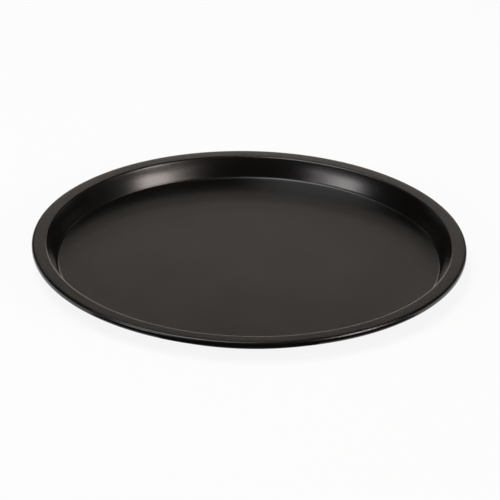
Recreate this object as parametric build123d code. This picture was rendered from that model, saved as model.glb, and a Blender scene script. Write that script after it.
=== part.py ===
"""Round pizza pan: a disc of coated sheet steel, pressed to shape, its edge curled round a steel wire.

Millimetres. The origin is the middle of the flat underside that the pan rests on, and +Z is up.
The sheet has three layers that never part: a steel core and a baked coating on each side of it.
All of them follow one half-section line: out from the axis along the floor, up the sloping wall,
over the mouth's corner, along the flat rim and round the wire. Each layer is given by its depths
under the food side, so neighbouring layers share their faces exactly.
"""
from build123d import *
import math
import os

# The pan's outside
pan_diameter = 320.0  # over the curled edge
pan_height = 15.0  # from the table to the top of the rim

# The sheet's layers
food_coating_thickness = 0.05
steel_thickness = 0.5
back_coating_thickness = 0.05

# The pressed form, measured on the food side
rim_width = 11.0  # from the outer edge to where rim and wall would meet if they weren't rounded
wall_slope = 62.0  # degrees up from the floor
floor_corner_radius = 2.8
mouth_corner_radius = 2.0

# The curled edge
wire_diameter = 3.8
wire_clearance = 0.2  # left all round the wire where the curl springs back
curl_sweep = 300.0  # degrees that the sheet runs round the wire, from the top of the rim

# Depths under the food side
steel_depth = food_coating_thickness
back_coating_depth = steel_depth + steel_thickness
sheet_thickness = back_coating_depth + back_coating_thickness

# Radii and heights that follow
wire_radius = wire_diameter / 2
curl_radius = wire_radius + wire_clearance + sheet_thickness
rim_radius = pan_diameter / 2
mouth_radius = rim_radius - rim_width
inside_depth = pan_height - sheet_thickness
floor_radius = mouth_radius - inside_depth / math.tan(math.radians(wall_slope))

# A corner's rounding starts this share of its radius away from the sharp corner
corner_setback_share = math.tan(math.radians(wall_slope / 2))

# The straight runs that are left between the roundings. Every layer has the same ones
floor_run = floor_radius - floor_corner_radius * corner_setback_share
wall_run = (
    inside_depth / math.sin(math.radians(wall_slope))
    - (floor_corner_radius + mouth_corner_radius) * corner_setback_share
)

# The wire in the half-section: distance from the axis, height. The curl begins straight above it
wire_centre = (rim_radius - curl_radius, pan_height - curl_radius)


def section_line(depth):
    """Edges of the half-section line this deep under the food side, from the axis to the raw edge."""
    floor = Line((0, sheet_thickness - depth), (floor_run, sheet_thickness - depth))
    floor_corner = JernArc(floor @ 1, floor % 1, floor_corner_radius + depth, wall_slope)
    wall = PolarLine(floor_corner @ 1, wall_run, direction=floor_corner % 1)
    mouth_corner = JernArc(wall @ 1, wall % 1, mouth_corner_radius - depth, -wall_slope)
    rim = Line(mouth_corner @ 1, (wire_centre[0], pan_height - depth))
    curl = JernArc(rim @ 1, rim % 1, curl_radius - depth, -curl_sweep)
    return [floor, floor_corner, wall, mouth_corner, rim, curl]


def sheet_layer(upper_depth, lower_depth):
    """One layer of the sheet, between two depths, turned once round the axis."""
    upper = section_line(upper_depth)
    lower = section_line(lower_depth)
    on_the_axis = Line(upper[0] @ 0, lower[0] @ 0)
    raw_edge = Line(upper[-1] @ 1, lower[-1] @ 1)
    section = make_face([*upper, raw_edge, *lower, on_the_axis])
    return revolve(Plane.XZ * section, axis=Axis.Z)


def pan_body():
    """Steel core of the sheet: floor, wall, rim and curl in one pressing."""
    return sheet_layer(steel_depth, back_coating_depth)


def food_coating():
    """Non-stick film on the side that the food lies on, baked on before the sheet is pressed."""
    return sheet_layer(0, steel_depth)


def back_coating():
    """Film on the underside, which meets the table and, inside the curl, faces the wire."""
    return sheet_layer(back_coating_depth, sheet_thickness)


def rim_wire():
    """Ring of steel wire that stiffens the edge, held all round in the curl."""
    section = Pos(*wire_centre) * Circle(wire_radius)
    return revolve(Plane.XZ * section, axis=Axis.Z)


pieces = {
    "pan_body": pan_body,
    "food_coating": food_coating,
    "back_coating": back_coating,
    "rim_wire": rim_wire,
}

os.makedirs("parts", exist_ok=True)
for name, make_piece in pieces.items():
    piece = make_piece()
    piece.label = name
    export_step(piece, f"parts/{name}.step")
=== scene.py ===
"""Looks of the pizza pan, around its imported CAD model. Metres, +Z up, the pan stands on z = 0."""

import math

import bpy
import numpy as np
from mathutils import Matrix, Vector


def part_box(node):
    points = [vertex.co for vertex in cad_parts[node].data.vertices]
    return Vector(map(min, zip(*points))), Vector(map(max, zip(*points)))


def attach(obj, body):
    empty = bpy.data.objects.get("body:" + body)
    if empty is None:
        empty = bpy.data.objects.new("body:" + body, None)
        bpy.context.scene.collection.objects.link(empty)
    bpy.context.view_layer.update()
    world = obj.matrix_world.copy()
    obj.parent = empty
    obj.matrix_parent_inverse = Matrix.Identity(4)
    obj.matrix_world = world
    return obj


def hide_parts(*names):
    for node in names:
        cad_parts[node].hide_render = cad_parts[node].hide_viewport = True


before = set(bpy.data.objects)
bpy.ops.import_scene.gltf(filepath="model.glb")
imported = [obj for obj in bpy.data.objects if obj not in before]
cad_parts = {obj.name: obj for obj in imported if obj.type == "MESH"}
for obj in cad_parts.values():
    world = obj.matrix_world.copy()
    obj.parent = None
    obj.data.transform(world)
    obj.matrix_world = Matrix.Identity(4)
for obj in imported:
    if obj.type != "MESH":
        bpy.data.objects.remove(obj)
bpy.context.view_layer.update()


# Steel core of the sheet. The real one is a disc of 0.5 mm cold-rolled carbon steel, pressed in one
# go into floor, wall and rim, its edge then curled round a wire. Both films cover it, so it shows
# only as the raw edge that ends the curl, out of sight under the rim.

food_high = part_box("food_coating")[1]
rim_radius = food_high.x
pan_height = food_high.z
wire_low, wire_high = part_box("rim_wire")
wire_radius = (wire_high.z - wire_low.z) / 2
wire_height = (wire_high.z + wire_low.z) / 2
back_depth = pan_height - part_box("back_coating")[1].z
steel_depth = pan_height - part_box("pan_body")[1].z
# Both films are equally thick
sheet_thickness = back_depth + steel_depth
curl_radius = pan_height - wire_height
wire_ring_radius = rim_radius - curl_radius

rim_width = 0.0110
wall_slope = math.radians(62)
floor_corner_radius = 0.0028
mouth_corner_radius = 0.0020
curl_sweep = math.radians(300)

# The wall in the photo is shaded as if it stood steeper low down and leaned out at its top. Drawn so,
# it is within half a millimetre of the CAD's straight wall
low_wall_slope = math.radians(64.2)
top_wall_slope = math.radians(53.5)
lean_radius = 0.046

# The upper outer corner of the curl is a little tighter than the rest of it, as its shading in the
# photo suggests. It stands 0.4 mm outside the CAD's round curl there, and inside the CAD box
tight_corner_radius = 0.0017

angle_steps = 480
floor_rings = 8
corner_steps = 12
lean_steps = 10
curl_steps = 32
fine_run_steps = 3
sharp_edge_angle = math.radians(40)


def half_section(depth):
    """Points of the sheet's half-section line at this depth under the food side, axis to raw edge.

    Runs and bends follow each other. A run adds its length along the heading. A bend of radius r
    that turns the heading from a to b adds r times (sin b - sin a, cos a - cos b), with r negative
    where it turns down.
    """
    mouth_radius = rim_radius - rim_width
    rim_run = wire_ring_radius - mouth_radius - mouth_corner_radius * math.tan(wall_slope / 2)
    bends_rise = (
        floor_corner_radius * (1 - math.cos(low_wall_slope))
        + lean_radius * (math.cos(top_wall_slope) - math.cos(low_wall_slope))
        + mouth_corner_radius * (1 - math.cos(top_wall_slope)))
    low_wall_run = (pan_height - sheet_thickness - bends_rise) / math.sin(low_wall_slope)
    bends_reach = (
        floor_corner_radius * math.sin(low_wall_slope)
        + lean_radius * (math.sin(low_wall_slope) - math.sin(top_wall_slope))
        + mouth_corner_radius * math.sin(top_wall_slope))
    floor_run = wire_ring_radius - rim_run - bends_reach - low_wall_run * math.cos(low_wall_slope)
    quarter_turn = math.pi / 2
    path = [
        ("run", floor_run, floor_rings),
        ("bend", floor_corner_radius + depth, low_wall_slope, corner_steps),
        ("run", low_wall_run, fine_run_steps),
        ("bend", depth - lean_radius, top_wall_slope - low_wall_slope, lean_steps),
        ("bend", depth - mouth_corner_radius, -top_wall_slope, corner_steps),
        ("run", rim_run + curl_radius - tight_corner_radius, fine_run_steps),
        ("bend", depth - tight_corner_radius, -quarter_turn, corner_steps),
        ("run", curl_radius - tight_corner_radius, fine_run_steps),
        ("bend", depth - curl_radius, quarter_turn - curl_sweep, curl_steps),
    ]
    heading = 0.0
    points = [np.array([[0.0, sheet_thickness - depth]])]
    for kind, size, *turn, steps in path:
        start = points[-1][-1]
        if kind == "run":
            along = np.array([math.cos(heading), math.sin(heading)]) * size
            points.append(start + np.linspace(0, 1, steps + 1)[1:, None] * along)
            continue
        headings = np.linspace(heading, heading + turn[0], steps + 1)[1:]
        bend = np.stack([
            np.sin(headings) - math.sin(heading),
            math.cos(heading) - np.cos(headings),
        ], 1)
        points.append(start + size * bend)
        heading += turn[0]
    return np.concatenate(points)


def turned(name, outline, closed_loop=False):
    """A mesh object: the outline's (radius, height) points carried once round the Z axis.

    Vertex (i, j) is outline point j at angle i: (r cos a, r sin a, z). An outline that isn't a
    closed loop starts and ends on the axis, and each of its ends becomes one vertex, a closed pole.
    The outline runs clockwise, so that faces (i, j), (i, j+1), (i+1, j+1), (i+1, j) point outwards.
    The UV map holds metres: round the rim, and along the outline.
    """
    rings = outline if closed_loop else outline[1:-1]
    angles = np.linspace(0, 2 * math.pi, angle_steps, endpoint=False)
    shape = (angle_steps, len(rings))
    places = np.stack([
        np.outer(np.cos(angles), rings[:, 0]),
        np.outer(np.sin(angles), rings[:, 0]),
        np.broadcast_to(rings[:, 1], shape),
    ], 2).reshape(-1, 3)

    spans = len(rings) if closed_loop else len(rings) - 1
    i, j = np.indices((angle_steps, spans)).reshape(2, -1)
    quad_turn = np.stack([i, i, i + 1, i + 1], 1)
    quad_ring = np.stack([j, j + 1, j + 1, j], 1)
    quads = quad_turn % angle_steps * len(rings) + quad_ring % len(rings)

    triangles = np.empty((0, 3), int)
    triangle_turn = np.empty((0, 3))
    triangle_ring = np.empty((0, 3), int)
    if not closed_loop:
        upper_pole, lower_pole = len(places), len(places) + 1
        places = np.concatenate([places, [[0, 0, outline[0, 1]], [0, 0, outline[-1, 1]]]])
        first = np.arange(angle_steps)
        after = (first + 1) % angle_steps
        last_ring = len(rings) - 1
        triangles = np.concatenate([
            np.stack([np.full_like(first, upper_pole), first * len(rings), after * len(rings)], 1),
            np.stack([np.full_like(first, lower_pole), after * len(rings) + last_ring,
                      first * len(rings) + last_ring], 1),
        ])
        triangle_turn = np.concatenate([
            np.stack([first + 0.5, first, first + 1], 1),
            np.stack([first + 0.5, first + 1, first], 1),
        ])
        pole_triangle_rings = [[-1, 0, 0], [last_ring + 1, last_ring, last_ring]]
        triangle_ring = np.repeat(pole_triangle_rings, angle_steps, axis=0)

    mesh = bpy.data.meshes.new(name)
    mesh.from_pydata(places, [], quads.tolist() + triangles.tolist())
    lengths = np.linalg.norm(np.diff(outline, axis=0, append=outline[:1]), axis=1)
    along = np.concatenate([[0], np.cumsum(lengths)])
    # The first ring is the outline's first point, or its second where the first is a pole
    first_ring = 0 if closed_loop else 1
    turn = np.concatenate([quad_turn.ravel(), triangle_turn.ravel()])
    ring = np.concatenate([quad_ring.ravel(), triangle_ring.ravel()])
    uv = np.stack([turn / angle_steps * 2 * math.pi * rim_radius, along[ring + first_ring]], 1)
    mesh.uv_layers.new(name="SheetMetres").uv.foreach_set("vector", uv.astype(np.float32).ravel())
    mesh.shade_smooth()
    mesh.set_sharp_from_angle(angle=sharp_edge_angle)
    mesh.update()
    thing = bpy.data.objects.new(name, mesh)
    bpy.context.scene.collection.objects.link(thing)
    return thing


def sheet_layer(name, upper_depth, lower_depth):
    """One layer of the sheet: its upper line out to the raw edge, then its lower line back."""
    outline = np.concatenate([half_section(upper_depth), half_section(lower_depth)[::-1]])
    return turned(name, outline)


def linear(colour):
    """The linear RGBA of an sRGB hex colour.

    A channel c becomes c / 12.92 up to 0.04045, and ((c + 0.055) / 1.055) to the power 2.4 above.
    """
    channels = [int(colour[k:k + 2], 16) / 255 for k in (1, 3, 5)]
    return [c / 12.92 if c <= 0.04045 else ((c + 0.055) / 1.055) ** 2.4 for c in channels] + [1.0]


def add(tree, kind, settings=(), **inputs):
    """A node with its settings and its inputs, each a value or another node's output.

    An input goes to the socket of its name, with _ for a space. One named i6 goes to socket number 6.
    """
    node = tree.nodes.new(kind)
    for setting, value in dict(settings).items():
        setattr(node, setting, value)
    for name, value in inputs.items():
        if name[1:].isdigit():
            socket = node.inputs[int(name[1:])]
        else:
            socket = node.inputs[name.replace("_", " ")]
        if isinstance(value, bpy.types.NodeSocket):
            tree.links.new(value, socket)
        else:
            socket.default_value = value
    return node


def new_material(name):
    """A material with an empty node tree, and that tree."""
    material = bpy.data.materials.new(name)
    material.use_nodes = True
    material.node_tree.nodes.clear()
    return material, material.node_tree


def cold_rolled_steel():
    """Sheared carbon steel sheet: matt grey, a little stained, with the marks that the shear leaves.

    The marks are drawn nearly as wide as the sheet is thick, so that they show on its edge.
    """
    material, tree = new_material("cold_rolled_steel")
    place = add(tree, "ShaderNodeTexCoord").outputs["Object"]
    shear_mark_size = 0.0004
    shear_mark_height = 0.00005
    stain_size = 0.012
    marks = add(tree, "ShaderNodeTexNoise", Vector=place, Scale=1 / shear_mark_size, Detail=3.0)
    stain = add(tree, "ShaderNodeTexNoise", Vector=place, Scale=1 / stain_size, Detail=4.0)
    colour = add(tree, "ShaderNodeMix", {"data_type": "RGBA"}, Factor=stain.outputs["Fac"],
                 i6=linear("#8b8a88"), i7=linear("#a5a4a2"))
    rough = add(tree, "ShaderNodeMapRange", Value=marks.outputs["Fac"], To_Min=0.34, To_Max=0.52)
    bump = add(tree, "ShaderNodeBump", Height=marks.outputs["Fac"], Strength=0.3,
               Distance=shear_mark_height)
    shader = add(tree, "ShaderNodeBsdfPrincipled", Base_Color=colour.outputs["Result"], Metallic=1.0,
                 Roughness=rough.outputs["Result"], Normal=bump.outputs["Normal"])
    add(tree, "ShaderNodeOutputMaterial", Surface=shader.outputs["BSDF"])
    return material


steel_core = sheet_layer("steel_core", steel_depth, back_depth)
steel_core.data.materials.append(cold_rolled_steel())
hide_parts("pan_body")
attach(steel_core, "root")


# Non-stick film on the food side. Sprayed on the flat sheet in a thin wet coat and baked, then
# pressed with it. Warm black and satin: the cured film keeps the spray's fine orange peel.

def sprayed_film(name, colour, sheen_colour, smoothest, roughest):
    """A baked sprayed film: almost no colour of its own, a satin reflection, fine orange peel.

    The steel under it was drawn over the die, so faint lines follow the wall and the rim round. Peel
    and lines are drawn a little coarser than they may be, so that they show.
    """
    material, tree = new_material(name)
    coordinates = add(tree, "ShaderNodeTexCoord").outputs
    peel_size = 0.0011
    peel_height = 0.00004
    cloud_size = 0.045
    draw_line_length = 0.014
    draw_line_width = 0.0009
    draw_line_height = 0.00006
    place = coordinates["Object"]
    peel = add(tree, "ShaderNodeTexNoise", Vector=place, Scale=1 / peel_size, Detail=2.0)
    cloud = add(tree, "ShaderNodeTexNoise", Vector=place, Scale=1 / cloud_size, Detail=3.0)
    drawn = add(tree, "ShaderNodeMapping", Vector=coordinates["UV"],
                Scale=(1 / draw_line_length, 1 / draw_line_width, 1.0))
    lines = add(tree, "ShaderNodeTexNoise", Vector=drawn.outputs["Vector"], Scale=1.0, Detail=2.0)
    tone = add(tree, "ShaderNodeMix", {"data_type": "RGBA"}, Factor=cloud.outputs["Fac"],
               i6=linear(colour), i7=linear(sheen_colour))
    rough = add(tree, "ShaderNodeMapRange", Value=cloud.outputs["Fac"], From_Min=0.3, From_Max=0.7,
                To_Min=smoothest, To_Max=roughest)
    line_bump = add(tree, "ShaderNodeBump", Height=lines.outputs["Fac"], Strength=0.6,
                    Distance=draw_line_height)
    bump = add(tree, "ShaderNodeBump", Height=peel.outputs["Fac"], Strength=0.3,
               Distance=peel_height, Normal=line_bump.outputs["Normal"])
    shader = add(tree, "ShaderNodeBsdfPrincipled", Base_Color=tone.outputs["Result"], IOR=1.5,
                 Roughness=rough.outputs["Result"], Normal=bump.outputs["Normal"])
    add(tree, "ShaderNodeOutputMaterial", Surface=shader.outputs["BSDF"])
    return material


food_film = sheet_layer("food_film", 0.0, steel_depth)
food_film.data.materials.append(
    sprayed_film("satin_nonstick", "#080706", "#0b0a09", smoothest=0.23, roughest=0.27))
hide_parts("food_coating")
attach(food_film, "root")


# Film on the underside. The same kind of coat, duller, and drawn just as thick. It meets the table,
# and inside the curl it faces the wire.

back_film = sheet_layer("back_film", back_depth, sheet_thickness)
back_film.data.materials.append(
    sprayed_film("matt_backing_film", "#0c0c0c", "#100f0f", smoothest=0.46, roughest=0.54))
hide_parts("back_coating")
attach(back_film, "root")


# Wire in the edge. A ring of drawn steel wire, its ends butted, that the sheet's edge is curled round
# all the way. It stiffens the rim and is almost wholly hidden.

def drawn_wire_steel():
    """Bright drawn wire: long die lines that follow the wire, drawn coarser than real ones to show."""
    material, tree = new_material("drawn_wire_steel")
    place = add(tree, "ShaderNodeTexCoord").outputs["UV"]
    die_line_width = 0.0003
    die_line_length = 0.03
    die_line_height = 0.00004
    stretched = add(tree, "ShaderNodeMapping", Vector=place,
                    Scale=(1 / die_line_length, 1 / die_line_width, 1.0))
    lines = add(tree, "ShaderNodeTexNoise", Vector=stretched.outputs["Vector"], Scale=1.0, Detail=3.0)
    rough = add(tree, "ShaderNodeMapRange", Value=lines.outputs["Fac"], To_Min=0.22, To_Max=0.38)
    tone = add(tree, "ShaderNodeMix", {"data_type": "RGBA"}, Factor=lines.outputs["Fac"],
               i6=linear("#a2a2a3"), i7=linear("#bcbcbd"))
    bump = add(tree, "ShaderNodeBump", Height=lines.outputs["Fac"], Strength=0.25,
               Distance=die_line_height)
    shader = add(tree, "ShaderNodeBsdfPrincipled", Base_Color=tone.outputs["Result"], Metallic=1.0,
                 Roughness=rough.outputs["Result"], Normal=bump.outputs["Normal"])
    add(tree, "ShaderNodeOutputMaterial", Surface=shader.outputs["BSDF"])
    return material


wire_steps = 40
wire_turn = np.linspace(0, -2 * math.pi, wire_steps, endpoint=False)
wire_outline = np.stack([
    wire_ring_radius + wire_radius * np.cos(wire_turn),
    wire_height + wire_radius * np.sin(wire_turn),
], 1)
edge_wire = turned("edge_wire", wire_outline, closed_loop=True)
edge_wire.data.materials.append(drawn_wire_steel())
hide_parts("rim_wire")
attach(edge_wire, "root")


# Table. A plain white top. What the camera and the reflections see of it is mostly an even glow of
# strength 1, so that it reads white, and for the rest the lit surface with the pan's faint shadow on it.

def seen_directly(tree):
    """1 for the rays that see the stage, from the camera, in a reflection or through glass, else 0."""
    rays = add(tree, "ShaderNodeLightPath").outputs
    seen = add(tree, "ShaderNodeMath", {"operation": "MAXIMUM"}, i0=rays["Is Camera Ray"],
               i1=rays["Is Glossy Ray"])
    seen = add(tree, "ShaderNodeMath", {"operation": "MAXIMUM"}, i0=seen.outputs["Value"],
               i1=rays["Is Transmission Ray"])
    return seen.outputs["Value"]


floor_half_width = 6.0
floor_gap = 0.0001
floor_mesh = bpy.data.meshes.new("table_top")
floor_mesh.from_pydata(
    [(x, y, -floor_gap) for x, y in (
        (-floor_half_width, -floor_half_width), (floor_half_width, -floor_half_width),
        (floor_half_width, floor_half_width), (-floor_half_width, floor_half_width))],
    [], [(0, 1, 2, 3)])
table_top = bpy.data.objects.new("table_top", floor_mesh)
bpy.context.scene.collection.objects.link(table_top)
table_material, table_tree = new_material("white_table_laminate")
table_glow_share = 0.88
table_seen = add(table_tree, "ShaderNodeMath", {"operation": "MULTIPLY"},
                 i0=seen_directly(table_tree), i1=table_glow_share)
table_diffuse = add(table_tree, "ShaderNodeBsdfDiffuse", Color=linear("#f6f6f6"))
table_glow = add(table_tree, "ShaderNodeEmission", Color=linear("#ffffff"), Strength=1.0)
table_white = add(table_tree, "ShaderNodeMixShader", Fac=table_seen.outputs["Value"],
                  i1=table_diffuse.outputs["BSDF"], i2=table_glow.outputs["Emission"])
add(table_tree, "ShaderNodeOutputMaterial", Surface=table_white.outputs["Shader"])
floor_mesh.materials.append(table_material)


# Studio. Black cloth all round and black card on the table keep the pan's walls dark. Paper behind it,
# brightest low down, gives floor and rim their sheen, which the wall cuts off near itself. A softbox on
# each side of the camera lights a patch of the back wall, and one overhead lights the front edge.

points_round = 33
points_across = 17


def directions(azimuths, elevations):
    """Unit vectors from the pan: (sin a cos e, cos a cos e, sin e), with both angles in degrees.

    Azimuth a runs from straight behind the pan and clockwise from above, e is the elevation.
    """
    a = np.radians(azimuths)
    e = np.radians(elevations)
    return np.stack([np.sin(a) * np.cos(e), np.cos(a) * np.cos(e), np.sin(e)], -1)


def hung(azimuths, elevations, distance):
    """Grid of points on a sphere about the pan: distance times the unit vectors of its directions."""
    grid = np.meshgrid(
        np.linspace(*azimuths, points_round), np.linspace(*elevations, points_across), indexing="ij")
    return distance * directions(*grid)


def laid(azimuths, radii):
    """Grid of points on the table, just above its top: (r sin a, r cos a, -floor_gap / 2)."""
    a, r = np.meshgrid(
        np.radians(np.linspace(*azimuths, points_round)), np.linspace(*radii, points_across),
        indexing="ij")
    return np.stack([r * np.sin(a), r * np.cos(a), np.full_like(r, -floor_gap / 2)], 2)


def screen(name, places, colour, strength):
    """An evenly bright stage screen over a grid of points, seen only in reflections and glass.

    Face (i, j) joins the points (i, j), (i, j+1), (i+1, j+1) and (i+1, j).
    """
    rows, columns = places.shape[:2]
    i, j = np.indices((rows - 1, columns - 1)).reshape(2, -1)
    first = i * columns + j
    faces = np.stack([first, first + 1, first + columns + 1, first + columns], 1)
    mesh = bpy.data.meshes.new(name)
    mesh.from_pydata(places.reshape(-1, 3), [], faces.tolist())
    mesh.shade_smooth()
    thing = bpy.data.objects.new(name, mesh)
    bpy.context.scene.collection.objects.link(thing)
    material, tree = new_material(name)
    shader = add(tree, "ShaderNodeEmission", Color=linear(colour), Strength=strength)
    add(tree, "ShaderNodeOutputMaterial", Surface=shader.outputs["Emission"])
    mesh.materials.append(material)
    thing.visible_camera = False
    thing.visible_diffuse = False
    thing.visible_shadow = False


plain_white = "#ffffff"
paper_white = "#fff3e8"
right_white = "#fff3ec"
left_white = "#fffafa"
black_glow = 0.01
cloth_distance = 8.0
paper_distance = 2.0
wing_glow = 0.35
high_card_distance = 3.0
side_paper_distance = 3.9
near_card_start = 0.139
black_card_start = 0.168
black_card_end = 1.2

# The side papers carry the softboxes' patches on towards the middle of the back wall. The high card
# shows only in the rounded corners that face it
screen("black_cloth", hung((-180, 180), (-5, 90), cloth_distance), plain_white, black_glow)
screen("black_card", laid((125, 230), (black_card_start, black_card_end)), plain_white, black_glow)
screen("near_card", laid((160, 205), (near_card_start, black_card_start)), plain_white, strength=0.1)
for part, span, strength in (
    ("foot", (0, 5), 1.0),
    ("low", (5, 10), 2.7),
    ("middle", (10, 17), 2.1),
    ("high", (17, 25), 0.42),
    ("top", (25, 35), 0.2),
):
    screen(f"back_paper_{part}", hung((-12.5, 12.5), span, paper_distance), paper_white, strength)
screen("left_wing_paper", hung((-54, -38), (12, 32), paper_distance), paper_white, wing_glow)
screen("right_wing_paper", hung((38, 54), (12, 32), paper_distance), paper_white, wing_glow)
screen("high_card", hung((94, 120), (42, 54), high_card_distance), right_white, strength=18.0)
screen("right_side_paper", hung((131, 142), (23, 34), side_paper_distance), right_white, strength=3.0)
screen("left_side_paper", hung((-142, -131), (23, 34), side_paper_distance), left_white, strength=4.2)


def softbox(name, azimuth, elevation, distance, width, height, brightness, colour):
    """A square-edged area light that faces the pan. Its power is pi times area times brightness."""
    light = bpy.data.lights.new(name, "AREA")
    light.shape = "RECTANGLE"
    light.size, light.size_y = width, height
    light.energy = math.pi * width * height * brightness
    light.color = linear(colour)[:3]
    lamp = bpy.data.objects.new(name, light)
    bpy.context.scene.collection.objects.link(lamp)
    direction = directions(azimuth, elevation)
    lamp.location = direction * distance
    lamp.rotation_euler = Vector(direction).to_track_quat("Z", "Y").to_euler()
    lamp.visible_camera = False


softbox("right_softbox", azimuth=121.5, elevation=20, distance=4.0, width=1.4, height=1.0,
        brightness=15.0, colour=right_white)
softbox("left_softbox", azimuth=-122.5, elevation=20, distance=4.0, width=1.25, height=1.0,
        brightness=10.0, colour=left_white)
softbox("overhead_softbox", azimuth=-80, elevation=74, distance=2.5, width=2.0, height=1.2,
        brightness=4.3, colour=plain_white)

# The room is plain white where the camera sees it, and lights the pan at a quarter of that. In
# reflections the black cloth hides it
world =bpy.data.worlds.new("white_room")
bpy.context.scene.world = world
world.use_nodes = True
room_tree = world.node_tree
room_tree.nodes.clear()
room_light = 0.25
room_brightness = add(room_tree, "ShaderNodeMapRange", Value=seen_directly(room_tree),
                      To_Min=room_light, To_Max=1.0)
room = add(room_tree, "ShaderNodeBackground", Color=linear(plain_white),
           Strength=room_brightness.outputs["Result"])
add(room_tree, "ShaderNodeOutputWorld", Surface=room.outputs["Background"])


# Camera. A long lens from in front and above, a little out of level, as the photograph was taken. Its
# angles, distance and focal length were fitted to the pan's outline in the photograph.

image_size = 500
sensor_width = 36.0
camera_distance = 3.84
camera_elevation = math.radians(26.275)
camera_roll = math.radians(1.25)
focal_pixels = 5219.0
rim_centre_pixel = (249.3, 243.0)

camera = bpy.data.objects.new("camera", bpy.data.cameras.new("camera"))
bpy.context.scene.collection.objects.link(camera)
backward = np.array([0.0, -math.cos(camera_elevation), math.sin(camera_elevation)])
level_right = np.array([1.0, 0.0, 0.0])
level_up = np.cross(backward, level_right)
right = math.cos(camera_roll) * level_right + math.sin(camera_roll) * level_up
up = np.cross(backward, right)
place = np.array([0.0, 0.0, pan_height]) + camera_distance * backward
camera.matrix_world = Matrix(np.stack([right, up, backward, place], 1).tolist()).to_4x4()
camera.data.sensor_width = sensor_width
camera.data.lens = sensor_width * focal_pixels / image_size
camera.data.shift_x = (image_size / 2 - rim_centre_pixel[0]) / image_size
camera.data.shift_y = (rim_centre_pixel[1] - image_size / 2) / image_size
camera.data.clip_end = 50.0
bpy.context.scene.camera = camera
bpy.context.scene.view_settings.view_transform = "Standard"
